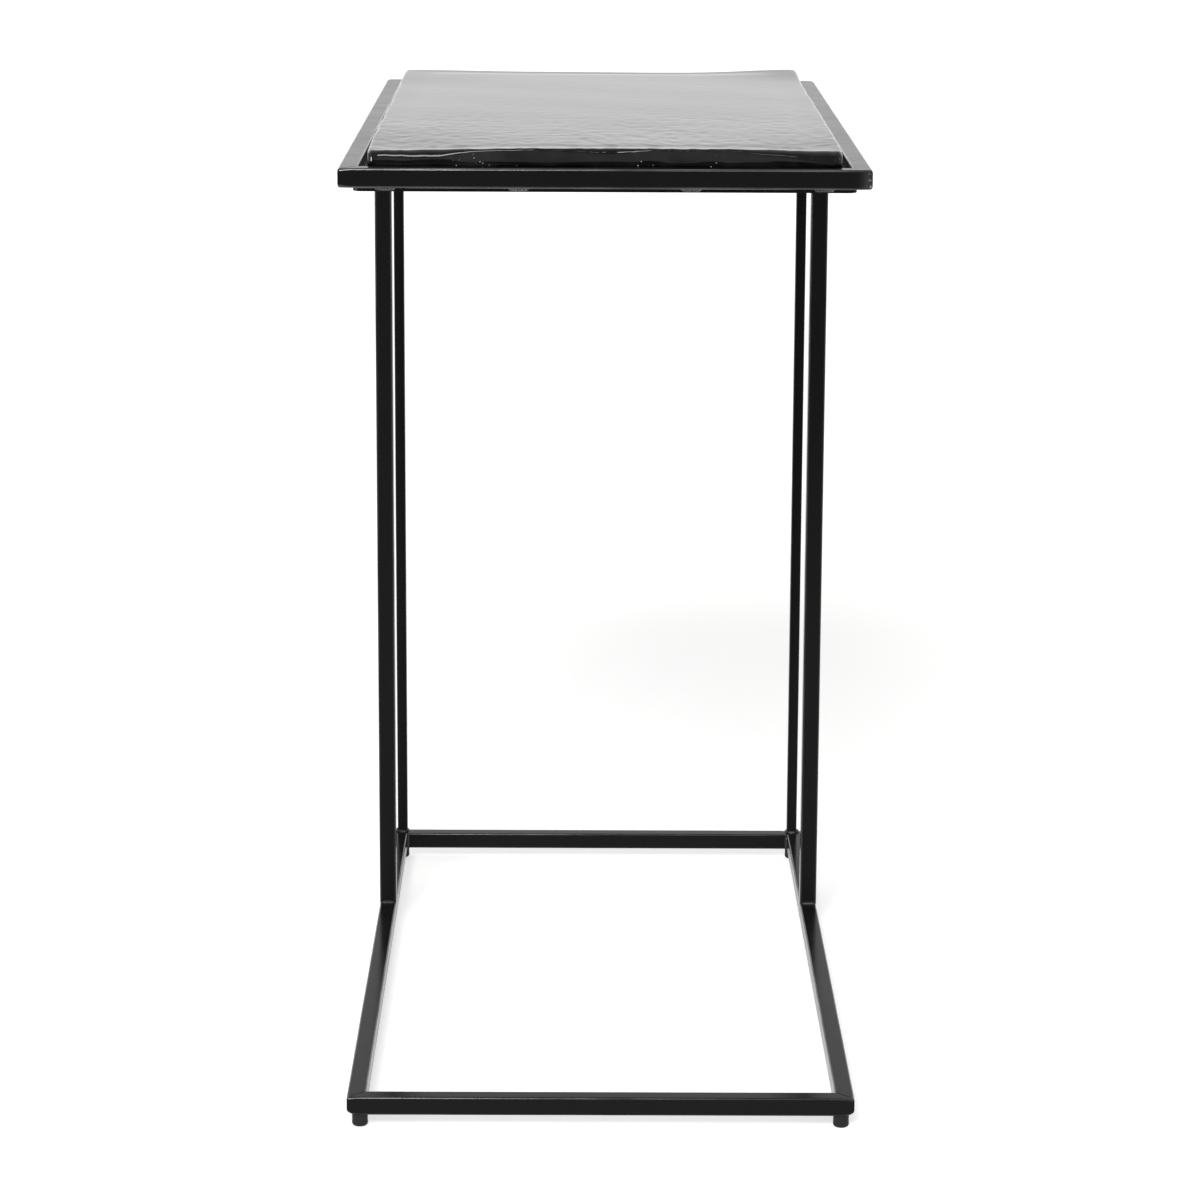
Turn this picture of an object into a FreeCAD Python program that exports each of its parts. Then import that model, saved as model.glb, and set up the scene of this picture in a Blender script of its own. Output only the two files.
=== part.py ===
import FreeCAD, Part
import math
import os

# C-shaped accent table: a welded square-tube frame whose tray carries a loose slab of cast glass.
# X runs across the table, Y from its open end to the end with the uprights, Z up from the floor.
# The origin is on the floor, in the middle of the footprint. Sizes are in millimetres.

# Frame
WIDTH = 334.0               # outer width of the tray frame and of the base frame
DEPTH = 640.0               # outer depth of both frames
FRAME_TOP = 631.0           # height of the tray frame's top face
TUBE = 12.5                 # outer size of the square tube
TUBE_WALL = 1.2
TUBE_EDGE_R = 1.4           # rounding along the tube's outer edges
UPRIGHT_SETBACK = 435.0     # from the table's open end to the front uprights
REAR_BAR = 8.0              # size of the solid rear uprights
REAR_BAR_EDGE_R = 0.8

# Sheet under the tray
SHEET_THICKNESS = 3.0
SHEET_LAP = 3.5             # how far the sheet reaches under the tray's rails
SHEET_CORNER_R = 6.0
SHEET_NOTCH_GAP = 0.4       # room round the uprights and their beads

# Slab
SLAB_SIDE_GAP = 2.3         # room between the slab and the tray's side rails, at the rear
SLAB_END_GAP = 4.5          # room between it and the front and rear rails
SLAB_NARROWING = 2.3        # how far in each of its sides has come at the front
SLAB_THICKNESS = 18.8       # at its rear edge
SLAB_TAPER = 3.7            # how much thicker it is at its front edge
SLAB_CORNER_R = 7.5
SLAB_TOP_EDGE_R = 4.5
SLAB_FOOT_EDGE_R = 2.0
SLAB_SIDE_WAVE = 0.7        # how far the sides wander inwards
SLAB_SIDE_WAVE_PITCH = 130.0
SLAB_TOP_WAVE = 0.2         # height of the swells on the top
SLAB_TOP_WAVE_PITCH = 170.0
SLAB_TRIM = 0.15            # taken off the cast rim where the top runs into it

# How far each corner of the slab's top is warped up or down, and how far from the corner that reaches
SLAB_FRONT_LEFT_WARP = -2.1
SLAB_FRONT_LEFT_REACH = 70.0
SLAB_FRONT_RIGHT_WARP = -1.7
SLAB_FRONT_RIGHT_REACH = 52.0
SLAB_REAR_LEFT_WARP = 1.3
SLAB_REAR_LEFT_REACH = 85.0
SLAB_REAR_RIGHT_WARP = 2.7
SLAB_REAR_RIGHT_REACH = 52.0

# Bumpers that the slab lies on
BUMPER_DIAMETER = 10.0
BUMPER_HEIGHT = 1.5
BUMPER_INSET = 24.0         # from the slab's sides to the bumpers' centres
BUMPER_ROWS = 3

# Levelling feet
FOOT_HEIGHT = 8.8           # clear height under the base frame
FOOT_DIAMETER = 10.6
FOOT_EDGE_R = 2.0           # rounding of the rim at the floor
FOOT_INSET = 8.5            # from the frame's sides to the feet's axes
STUD_DIAMETER = 5.0
STUD_IN_PAD = 4.0           # depth of the stud's socket in the pad
STUD_HEADROOM = 1.3         # between the stud's tip and the tube's upper wall
STUD_CHAMFER = 0.6
STUD_SOCKET_GAP = 0.03      # on the radius, between the stud and the pad
NUT_HEIGHT = 4.5
NUT_WALL_GAP = 0.6          # between the nut and the tube's side walls
NUT_THREAD_GAP = 0.05       # on the radius, between the stud and the nut
FOOT_HOLE_GAP = 0.25        # on the radius, between the stud and the tube's lower wall

# Weld beads
BEAD_UPRIGHT = 2.4          # leg of the beads at the uprights
BEAD_REAR_BAR = 2.2
BEAD_REAR_FILLET = 4.0      # leg of the hollow beads inside the rear uprights' feet
BEAD_CORNER = 2.2           # leg of the beads in the frames' inner corners
BEAD_TACK = 2.4             # leg of the tacks along the sheet
TACK_LENGTH = 14.0
TACK_CORNER_INSET = 20.5    # from the sheet's sides to the outer tacks on its front and rear edges
TACK_PAIR_SPACING = 108.0   # between the two middle tacks there
TACK_SIDE_SPACING = 150.0

# Heights and faces that follow from the sizes above
BASE_BOTTOM = FOOT_HEIGHT
BASE_TOP = BASE_BOTTOM + TUBE
TRAY_BOTTOM = FRAME_TOP - TUBE
SHEET_BOTTOM = TRAY_BOTTOM - SHEET_THICKNESS
SLAB_BOTTOM = TRAY_BOTTOM + BUMPER_HEIGHT
SIDE_X = WIDTH / 2
END_Y = DEPTH / 2
RAIL_INNER_X = SIDE_X - TUBE
RAIL_INNER_Y = END_Y - TUBE
UPRIGHT_FRONT_Y = UPRIGHT_SETBACK - END_Y
SHEET_X = RAIL_INNER_X + SHEET_LAP
SHEET_Y = RAIL_INNER_Y + SHEET_LAP
SLAB_X = RAIL_INNER_X - SLAB_SIDE_GAP
SLAB_Y = RAIL_INNER_Y - SLAB_END_GAP
SLAB_WARPS = (
    (-1, -1, SLAB_FRONT_LEFT_WARP, SLAB_FRONT_LEFT_REACH),
    (1, -1, SLAB_FRONT_RIGHT_WARP, SLAB_FRONT_RIGHT_REACH),
    (-1, 1, SLAB_REAR_LEFT_WARP, SLAB_REAR_LEFT_REACH),
    (1, 1, SLAB_REAR_RIGHT_WARP, SLAB_REAR_RIGHT_REACH),
)
FOOT_X = SIDE_X - FOOT_INSET
FOOT_Y = END_Y - TUBE / 2
SOCKET_FLOOR = FOOT_HEIGHT - STUD_IN_PAD

UP = FreeCAD.Vector(0, 0, 1)
ORIGIN = FreeCAD.Vector(0, 0, 0)


def vector(x, y, z=0.0):
    return FreeCAD.Vector(x, y, z)


def block(low, high):
    size = high - low
    return Part.makeBox(size.x, size.y, size.z, low)


def turned(shape, degrees, axis=UP):
    copy = shape.copy()
    copy.rotate(ORIGIN, axis, degrees)
    return copy


def moved(shape, x, y, z):
    copy = shape.copy()
    copy.translate(vector(x, y, z))
    return copy


def mirrored(shape):
    """The same piece on the other side of the table's middle plane."""
    return shape.mirror(ORIGIN, vector(1, 0, 0))


# Tubes and bars

def square_bar(length, size, edge_radius):
    """A bar along +Z, centred on the axis, with its long edges rounded."""
    bar = block(vector(-size / 2, -size / 2, 0), vector(size / 2, size / 2, length))
    long_edges = [e for e in bar.Edges if abs(e.tangentAt(e.FirstParameter).z) > 0.5]
    return bar.makeFillet(edge_radius, long_edges)


def square_tube(length):
    bore = TUBE - 2 * TUBE_WALL
    hollow = block(vector(-bore / 2, -bore / 2, 0), vector(bore / 2, bore / 2, length))
    return square_bar(length, TUBE, TUBE_EDGE_R).cut(hollow)


def mitred_rail(length):
    """A tube along X with both ends cut at 45 degrees. Its outer side faces -Y, at Y = 0."""
    tube = turned(square_tube(length), 90, vector(0, 1, 0))
    tube = moved(tube, -length / 2, TUBE / 2, TUBE / 2)
    half = length / 2
    plan = Part.makePolygon([
        vector(-half, 0),
        vector(half, 0),
        vector(half - TUBE, TUBE),
        vector(-half + TUBE, TUBE),
        vector(-half, 0),
    ])
    return tube.common(Part.Face(plan).extrude(vector(0, 0, TUBE)))


def frame_rails(bottom):
    """The four mitred rails of one rectangular frame, by the side that each is on."""
    across = moved(mitred_rail(WIDTH), 0, -END_Y, bottom)
    along = moved(turned(mitred_rail(DEPTH), 90), SIDE_X, 0, bottom)
    return {
        "front": across,
        "rear": turned(across, 180),
        "right": along,
        "left": turned(along, 180),
    }


# Sheet and bumpers

def tray_sheet():
    """A sheet with rounded corners, notched where the uprights and their beads pass its edges."""
    sheet = block(vector(-SHEET_X, -SHEET_Y, SHEET_BOTTOM), vector(SHEET_X, SHEET_Y, TRAY_BOTTOM))
    corners = [e for e in sheet.Edges if abs(e.tangentAt(e.FirstParameter).z) > 0.5]
    sheet = sheet.makeFillet(SHEET_CORNER_R, corners)
    front_room = BEAD_UPRIGHT + SHEET_NOTCH_GAP
    front_notch = block(
        vector(RAIL_INNER_X - SHEET_NOTCH_GAP, UPRIGHT_FRONT_Y - front_room, SHEET_BOTTOM),
        vector(SIDE_X, UPRIGHT_FRONT_Y + TUBE + front_room, TRAY_BOTTOM),
    )
    rear_room = BEAD_REAR_BAR + SHEET_NOTCH_GAP
    rear_notch = block(
        vector(RAIL_INNER_X - rear_room, END_Y - REAR_BAR - SHEET_NOTCH_GAP, SHEET_BOTTOM),
        vector(SIDE_X, END_Y, TRAY_BOTTOM),
    )
    for notch in (front_notch, rear_notch):
        sheet = sheet.cut([notch, mirrored(notch)])
    return sheet


def slab_bumpers():
    bumper = Part.makeCylinder(BUMPER_DIAMETER / 2, BUMPER_HEIGHT)
    x = SLAB_X - SLAB_NARROWING - BUMPER_INSET
    reach = SLAB_Y - BUMPER_INSET
    step = 2 * reach / (BUMPER_ROWS - 1)
    rows = [row * step - reach for row in range(BUMPER_ROWS)]
    return [moved(bumper, side * x, y, TRAY_BOTTOM) for y in rows for side in (-1, 1)]


# Slab

def smooth_line(points, start_direction, end_direction):
    curve = Part.BSplineCurve()
    curve.interpolate(Points=points, InitialTangent=start_direction, FinalTangent=end_direction)
    return curve.toShape()


def corner_points(centre, radius, first_angle):
    """Points round one corner of the slab, a quarter turn from the first angle."""
    steps = 4
    points = []
    for i in range(steps + 1):
        angle = math.radians(first_angle + 90 * i / steps)
        points.append(centre + vector(math.cos(angle), math.sin(angle)) * radius)
    return points


def side_points(start, end, inward, first_phase):
    """Points along one side of the slab, which wanders inwards between its corners."""
    points_per_wave = 4
    run = end - start
    waves = max(1, round(run.Length / SLAB_SIDE_WAVE_PITCH))
    steps = points_per_wave * waves
    points = []
    for i in range(steps + 1):
        share = i / steps
        phase = first_phase + 2 * math.pi * waves * share
        fade = math.sin(math.pi * share) ** 2
        unevenness = 0.6 + 0.4 * math.sin(0.37 * phase)
        depth = SLAB_SIDE_WAVE * fade * unevenness * (1 - math.cos(phase)) / 2
        points.append(start + run * share + inward * depth)
    return points


def slab_ring(inset, height_at):
    """A closed line round the slab, inset from its widest outline, at the height given for each point."""
    centre_x = SLAB_X - SLAB_CORNER_R
    centre_y = SLAB_Y - SLAB_CORNER_R
    corners = []
    for x, y, first_angle in ((1, -1, 270), (1, 1, 0), (-1, 1, 90), (-1, -1, 180)):
        narrowing = SLAB_NARROWING if y < 0 else 0
        centre = vector(x * (centre_x - narrowing), y * centre_y)
        corners.append(corner_points(centre, SLAB_CORNER_R - inset, first_angle))
    directions = [vector(0, 1), vector(-1, 0), vector(0, -1), vector(1, 0)]
    edges = []
    for i, corner in enumerate(corners):
        following = corners[(i + 1) % len(corners)]
        before, along, inward = directions[i - 1], directions[i], directions[(i + 1) % 4]
        side = side_points(corner[-1], following[0], inward, 0.9 * i)
        for run, first, last in ((corner, before, along), (side, along, along)):
            edges.append(smooth_line([vector(p.x, p.y, height_at(p.x, p.y)) for p in run], first, last))
    return Part.Wire(edges)


def slab_top_height(x, y):
    """Height of the slab's top above its underside: a slight taper, low swells and warped corners."""
    turn = 2 * math.pi / SLAB_TOP_WAVE_PITCH
    swell = math.sin(turn * (x + 0.45 * y)) * math.cos(turn * 0.8 * (y - 0.3 * x))
    taper = SLAB_TAPER * (SLAB_Y - y) / (2 * SLAB_Y)
    height = SLAB_THICKNESS + taper + SLAB_TOP_WAVE * swell
    for side, end, warp, reach in SLAB_WARPS:
        from_corner = math.hypot(x - side * SLAB_X, y - end * SLAB_Y)
        height += warp * math.exp(-(from_corner / reach) ** 2)
    return height


def slab_top_surface():
    """The top as one smooth surface, a little larger than the slab all round."""
    points_per_swell = 6
    reach_x = SLAB_X + SLAB_SIDE_GAP
    reach_y = SLAB_Y + SLAB_END_GAP
    columns = math.ceil(2 * reach_x * points_per_swell / SLAB_TOP_WAVE_PITCH)
    rows = math.ceil(2 * reach_y * points_per_swell / SLAB_TOP_WAVE_PITCH)
    grid = []
    for i in range(columns + 1):
        x = (2 * i / columns - 1) * reach_x
        line_y = [(2 * j / rows - 1) * reach_y for j in range(rows + 1)]
        grid.append([vector(x, y, slab_top_height(x, y)) for y in line_y])
    surface = Part.BSplineSurface()
    surface.interpolate(grid)
    return surface.toShape()


def quarter_round(radius, steps):
    """Inset and depth of points on a rounded edge, from the upright side to the flat."""
    angles = [math.radians(90 * i / steps) for i in range(steps + 1)]
    return [(radius * (1 - math.cos(a)), radius * (1 - math.sin(a))) for a in angles]


def slab():
    """A cast slab: rings lofted from its foot up over the rounded rim, trimmed by the swelling top."""
    foot_steps = 2
    rim_steps = 4
    rings = []
    for inset, rise in reversed(quarter_round(SLAB_FOOT_EDGE_R, foot_steps)):
        rings.append(slab_ring(inset, lambda x, y: rise))
    for inset, drop in quarter_round(SLAB_TOP_EDGE_R, rim_steps):
        rings.append(slab_ring(inset, lambda x, y: slab_top_height(x, y) + SLAB_TRIM - drop))
    spare_height = 2 * SLAB_THICKNESS
    rings.append(slab_ring(SLAB_TOP_EDGE_R, lambda x, y: spare_height))
    blank = Part.makeLoft(rings, True, True)
    cast = blank.cut(slab_top_surface().extrude(vector(0, 0, spare_height)))
    return moved(cast, 0, 0, SLAB_BOTTOM)


# Levelling feet

def foot_pad():
    """A plastic pad turned from its half section, with a socket for the stud, standing on Z = 0."""
    radius = FOOT_DIAMETER / 2
    socket_radius = STUD_DIAMETER / 2 + STUD_SOCKET_GAP
    rim_steps = 2
    section = [vector(0, 0, SOCKET_FLOOR), ORIGIN]
    for inset, rise in reversed(quarter_round(FOOT_EDGE_R, rim_steps)):
        section.append(vector(radius - inset, 0, rise))
    section += [
        vector(radius, 0, FOOT_HEIGHT),
        vector(socket_radius, 0, FOOT_HEIGHT),
        vector(socket_radius, 0, SOCKET_FLOOR),
        vector(0, 0, SOCKET_FLOOR),
    ]
    return Part.Face(Part.makePolygon(section)).revolve(ORIGIN, UP, 360)


def foot_stud():
    """The steel stud, from the floor of the pad's socket up into the base frame's corner."""
    tip = BASE_TOP - TUBE_WALL - STUD_HEADROOM
    stud = Part.makeCylinder(STUD_DIAMETER / 2, tip - SOCKET_FLOOR, vector(0, 0, SOCKET_FLOOR))
    tip_rim = [e for e in stud.Edges if e.BoundBox.ZMin > BASE_BOTTOM]
    return stud.makeChamfer(STUD_CHAMFER, tip_rim)


def foot_nut():
    """The square weld nut on the tube's lower wall that a stud turns in."""
    half = TUBE / 2 - TUBE_WALL - NUT_WALL_GAP
    seat = BASE_BOTTOM + TUBE_WALL
    body = block(vector(-half, -half, seat), vector(half, half, seat + NUT_HEIGHT))
    thread_radius = STUD_DIAMETER / 2 + NUT_THREAD_GAP
    return body.cut(Part.makeCylinder(thread_radius, NUT_HEIGHT, vector(0, 0, seat)))


def foot_hole():
    """The hole in the tube's lower wall that a stud passes through."""
    radius = STUD_DIAMETER / 2 + FOOT_HOLE_GAP
    return Part.makeCylinder(radius, TUBE_WALL, vector(0, 0, BASE_BOTTOM))


# Weld beads

def bead(length, leg, hollow=False):
    """A rounded or hollow bead along X with sloping ends, in the corner of the planes Y = 0 and Z = 0."""
    half = length / 2
    round_steps = 3
    section = [vector(-half, 0, 0)]
    for i in range(round_steps + 1):
        angle = math.radians(90 * i / round_steps)
        reach, rise = math.cos(angle), math.sin(angle)
        if hollow:
            reach, rise = 1 - rise, 1 - reach
        section.append(vector(-half, leg * reach, leg * rise))
    section.append(section[0])
    side = Part.makePolygon([
        vector(-half, 0, 0),
        vector(half, 0, 0),
        vector(half - leg / 2, 0, leg),
        vector(-half + leg / 2, 0, leg),
        vector(-half, 0, 0),
    ])
    bar = Part.Face(Part.makePolygon(section)).extrude(vector(length, 0, 0))
    return bar.common(Part.Face(side).extrude(vector(0, leg, 0)))


def bead_at(point, out, up, length, leg, hollow=False):
    """A bead in the corner at the point, whose two flat sides face away from out and up."""
    placed = bead(length, leg, hollow)
    placed.Placement = FreeCAD.Placement(point, FreeCAD.Rotation(out.cross(up), out, up, "XYZ"))
    return placed


def front_upright_beads(side, z, up):
    """Beads before and behind a front upright, where it meets a side rail's face at height z."""
    length = TUBE - 2 * TUBE_EDGE_R
    x = side * (SIDE_X - TUBE / 2)
    before = bead_at(vector(x, UPRIGHT_FRONT_Y, z), vector(0, -1), up, length, BEAD_UPRIGHT)
    behind = bead_at(vector(x, UPRIGHT_FRONT_Y + TUBE, z), vector(0, 1), up, length, BEAD_UPRIGHT)
    return [before, behind]


def rear_upright_beads(side, z, up, inner_leg, hollow):
    """Beads on the two sides of a rear upright, where it meets a frame corner at height z."""
    length = REAR_BAR - 2 * REAR_BAR_EDGE_R
    y = END_Y - REAR_BAR / 2
    inner = vector(side * RAIL_INNER_X, y, z)
    outer = vector(side * (RAIL_INNER_X + REAR_BAR), y, z)
    return [
        bead_at(inner, vector(-side, 0), up, length, inner_leg, hollow),
        bead_at(outer, vector(side, 0), up, length, BEAD_REAR_BAR),
    ]


def upright_foot_welds():
    beads = []
    for side in (-1, 1):
        beads += front_upright_beads(side, BASE_TOP, UP)
        beads += rear_upright_beads(side, BASE_TOP, UP, BEAD_REAR_FILLET, True)
        front_face = vector(side * (RAIL_INNER_X + REAR_BAR / 2), END_Y - REAR_BAR, BASE_TOP)
        length = REAR_BAR - 2 * REAR_BAR_EDGE_R
        beads.append(bead_at(front_face, vector(0, -1), UP, length, BEAD_REAR_BAR))
    return beads


def upright_head_welds():
    beads = []
    for side in (-1, 1):
        beads += front_upright_beads(side, TRAY_BOTTOM, -UP)
        beads += rear_upright_beads(side, TRAY_BOTTOM, -UP, BEAD_REAR_BAR, False)
    return beads


def corner_welds(bottom):
    """Upright beads in the four inner corners of a frame."""
    length = TUBE - 2 * TUBE_EDGE_R
    beads = []
    for x in (-1, 1):
        for y in (-1, 1):
            corner = vector(x * RAIL_INNER_X, y * RAIL_INNER_Y, bottom + TUBE / 2)
            beads.append(bead_at(corner, vector(-x, 0), vector(0, -y), length, BEAD_CORNER))
    return beads


def evenly_spaced(spacing, room):
    """Places along a line about its middle, as many as fit the room."""
    count = int(room / spacing) + 1
    return [(i - (count - 1) / 2) * spacing for i in range(count)]


def sheet_tack_welds():
    """Short beads along the sheet's edges, under the tray's rails."""
    margin = SHEET_CORNER_R + TACK_LENGTH / 2
    outer = SHEET_X - TACK_CORNER_INSET
    inner = TACK_PAIR_SPACING / 2
    along = evenly_spaced(TACK_SIDE_SPACING, SHEET_Y + UPRIGHT_FRONT_Y - 2 * margin)
    side_middle = (UPRIGHT_FRONT_Y - SHEET_Y) / 2
    beads = []
    for end in (-1, 1):
        for x in (-outer, -inner, inner, outer):
            point = vector(x, end * SHEET_Y, TRAY_BOTTOM)
            beads.append(bead_at(point, vector(0, end), -UP, TACK_LENGTH, BEAD_TACK))
        for y in along:
            point = vector(end * SHEET_X, side_middle + y, TRAY_BOTTOM)
            beads.append(bead_at(point, vector(end, 0), -UP, TACK_LENGTH, BEAD_TACK))
    return beads


# Assembly

def build():
    parts = {}
    corners = {
        "front_left": (-FOOT_X, -FOOT_Y),
        "front_right": (FOOT_X, -FOOT_Y),
        "rear_left": (-FOOT_X, FOOT_Y),
        "rear_right": (FOOT_X, FOOT_Y),
    }
    for side, rail in frame_rails(TRAY_BOTTOM).items():
        parts["top_" + side + "_rail"] = rail
    holes = [moved(foot_hole(), x, y, 0) for x, y in corners.values()]
    for side, rail in frame_rails(BASE_BOTTOM).items():
        parts["base_" + side + "_rail"] = rail.cut(holes)
    height = TRAY_BOTTOM - BASE_TOP
    tube = square_tube(height)
    bar = square_bar(height, REAR_BAR, REAR_BAR_EDGE_R)
    front = moved(tube, SIDE_X - TUBE / 2, UPRIGHT_FRONT_Y + TUBE / 2, BASE_TOP)
    rear = moved(bar, RAIL_INNER_X + REAR_BAR / 2, END_Y - REAR_BAR / 2, BASE_TOP)
    parts["front_upright_right"] = front
    parts["front_upright_left"] = mirrored(front)
    parts["rear_upright_right"] = rear
    parts["rear_upright_left"] = mirrored(rear)
    parts["tray_sheet"] = tray_sheet()
    parts["slab_bumpers"] = slab_bumpers()
    parts["slab"] = slab()
    for corner, (x, y) in corners.items():
        parts["foot_pad_" + corner] = moved(foot_pad(), x, y, 0)
        parts["foot_stud_" + corner] = moved(foot_stud(), x, y, 0)
    parts["foot_nuts"] = [moved(foot_nut(), x, y, 0) for x, y in corners.values()]
    parts["upright_foot_welds"] = upright_foot_welds()
    parts["upright_head_welds"] = upright_head_welds()
    parts["top_corner_welds"] = corner_welds(TRAY_BOTTOM)
    parts["base_corner_welds"] = corner_welds(BASE_BOTTOM)
    parts["sheet_tack_welds"] = sheet_tack_welds()
    return parts


def export(parts):
    os.makedirs("parts", exist_ok=True)
    for name, shape in parts.items():
        if isinstance(shape, list):
            shape = Part.makeCompound(shape)
        shape.exportStep("parts/" + name + ".step")
        print(name, len(shape.Solids), round(shape.Volume, 1), shape.isValid())


export(build())
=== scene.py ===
import math

import bmesh
import bpy
from mathutils import Matrix, Vector, noise


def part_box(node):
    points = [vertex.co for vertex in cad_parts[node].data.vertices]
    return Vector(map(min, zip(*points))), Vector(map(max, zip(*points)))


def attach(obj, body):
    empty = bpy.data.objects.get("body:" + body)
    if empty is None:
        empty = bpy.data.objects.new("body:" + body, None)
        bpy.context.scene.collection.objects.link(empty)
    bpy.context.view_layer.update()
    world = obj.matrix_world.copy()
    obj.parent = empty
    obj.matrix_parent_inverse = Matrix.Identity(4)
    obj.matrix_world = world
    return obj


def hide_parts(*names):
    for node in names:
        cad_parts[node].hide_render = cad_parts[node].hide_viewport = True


# Looks of a C-shaped accent table: a black welded tube frame whose tray carries a slab of black cast glass.
# Metres, +Z up. The table's open end faces -Y, towards the camera.

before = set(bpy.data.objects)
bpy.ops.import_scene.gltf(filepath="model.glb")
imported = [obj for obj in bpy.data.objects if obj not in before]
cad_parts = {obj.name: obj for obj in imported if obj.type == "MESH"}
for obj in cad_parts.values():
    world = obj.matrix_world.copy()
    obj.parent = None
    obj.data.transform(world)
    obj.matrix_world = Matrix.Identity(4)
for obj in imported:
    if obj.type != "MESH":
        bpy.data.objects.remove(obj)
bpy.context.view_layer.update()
MM = 0.001
UP = Vector((0, 0, 1))
SHARP_DEGREES = 50              # angle from which an edge is shaded sharp
# Height at which the noise is cut for each of its uses
NOISE_CUT = {"bead": 0.5, "rim": 3.1, "ripple": 7.7, "crease": 4.3, "fine": 1.9}
# Sockets of the nodes that ramp a value and that mix two colours
RANGE_SOCKETS = ("From Min", "From Max", "To Min", "To Max")
MIX_FIRST = 6
MIX_SECOND = 7
MIX_RESULT = 2

# Camera
CAMERA_PLACE = Vector((-0.0150, -2.7368, 0.8948))
CAMERA_LENS = 116.47
CAMERA_SENSOR = 36.0
CAMERA_PITCH = math.radians(12.562)     # downwards
CAMERA_YAW = math.radians(-0.308)
CAMERA_ROLL = math.radians(0.272)

# Tubes and bars
TUBE_EDGE_R = 1.4 * MM
BAR_EDGE_R = 0.8 * MM
EDGE_STEPS = 6
CORNER_R = 2.0 * MM             # rounding of a frame's outer corners
CORNER_EDGE_R = 2.3 * MM        # of a rail's outer edges at these corners, which are ground rounder
CORNER_EDGE_REACH = 8 * MM
CORNER_STEPS = 4
SEAM_DEPTH = 0.1 * MM           # of the fine line where two rails meet
SEAM_WIDTH = 0.5 * MM
CORNER_STATIONS = (14 * MM, 9 * MM, 6 * MM, 4 * MM, 2.8 * MM)     # places of extra points, from a corner
EDGE_WEAR = {"top": 0.5, "base": 0.25}    # how worn the coat is along each frame's edges, from 0 to 1; the wear also sets how strong their painted highlight is
CORNER_WEAR = 0.75
# Wear on the posts, beads and tacks also sets their painted highlight; on the tacks it reaches the scuffs
# too
POST_WEAR = 0.25
BEAD_WEAR = 0.45
TACK_WEAR = 0.80
SCUFF_REACH = 4.5 * MM          # of the scuffs at the tray's front right corner
SCUFF_RISE = 2                  # how much further they reach up and down
PALING_HEIGHT = 450 * MM          # above which the coat is not made paler; below it the coat grows paler towards the floor
GRIND_WIDTH = 5.5 * MM          # of the ground lower corners at the base's front
GRIND_DEPTH = 16 * MM
GRIND_HEIGHT = 2.4 * MM

# Sheet under the tray
SHEET_CORNER_R = 6 * MM
SHEET_CORNER_STEPS = 8
SHEET_EDGE_R = 0.4 * MM
SHEET_EDGE_STEPS = 3
NOTCH_GAP = 0.4 * MM

# Weld beads
BEAD_UPRIGHT = 2.4 * MM
BEAD_BAR = 2.2 * MM
BEAD_FILLET = 4.0 * MM          # of the hollow beads inside the rear uprights' feet
BEAD_CORNER = 2.2 * MM
BEAD_TACK = 2.4 * MM
BEAD_RIPPLE = 1.3 * MM          # from one ripple of a bead to the next
BEAD_RIPPLE_DEPTH = 0.16        # as a share of the bead's leg
BEAD_RIPPLE_POWER = 0.6         # below 1, ripples are round and the valleys between them sharp
BEAD_TRAIL = 0.45               # how far a ripple's middle trails behind its ends, in ripples
BEAD_END = 0.25                 # share of its leg that a bead starts from at its ends
BEAD_TAPER = 3                  # how slowly it grows from there, in legs
BEAD_UNEVENNESS = 0.07
BEAD_UNEVEN_PITCH = 4           # in legs
BEAD_SEED_STEP = 1.7            # from one bead's pattern to the next
BEAD_SHARP_DEGREES = 75
BEAD_ROUND_STEPS = 8
BEAD_STATION = 0.22 * MM
TACK_LENGTH = 14 * MM
TACK_CORNER_INSET = 20.5 * MM
TACK_PAIR_SPACING = 108 * MM
TACK_SIDE_SPACING = 150 * MM

# Slab
SLAB_SIDE_GAP = 2.3 * MM        # room between it and the tray's side rails, at the rear
SLAB_END_GAP = 4.5 * MM         # room between it and the front and rear rails
SLAB_NARROWING = 2.3 * MM       # how far in each of its sides has come at the front
SLAB_CORNER_R = 7.5 * MM
SLAB_CORNER_STEPS = 10
SLAB_REAR_THICKNESS = 18.8 * MM
SLAB_TAPER = 3.7 * MM
SLAB_FOOT_EDGE_R = 2 * MM
SLAB_FOOT_STEPS = 4
SLAB_RIM_STEPS = 12
SLAB_WALL_STEPS = 6
SLAB_SIDE_WAVE = 0.7 * MM
SLAB_SIDE_WAVE_PITCH = 130 * MM
SLAB_SIDE_PHASE = 0.9           # from one side's waves to the next, in radians
SLAB_SIDE_UNEVENNESS = 0.4
SLAB_SIDE_BEAT = 0.37           # how slowly the waves' height changes, against the waves
SLAB_TOP_WAVE = 0.1 * MM
SLAB_TOP_WAVE_PITCH = 170 * MM
SLAB_SWELL_SLANT = 0.45         # how far the top's swells run askew
SLAB_CROSS_SWELL_SLANT = 0.3
SLAB_CROSS_SWELL_RATE = 0.8     # the cross swells, against the others
SLAB_STATION = 2 * MM           # spacing of the points over its top
# Each corner's side and end, how far it is warped, and how far from the corner that reaches
SLAB_WARPS = (
    (-1, -1, -2.1 * MM, 70 * MM),
    (1, -1, -1.7 * MM, 52 * MM),
    (-1, 1, 1.3 * MM, 85 * MM),
    (1, 1, 2.7 * MM, 52 * MM),
)
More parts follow.
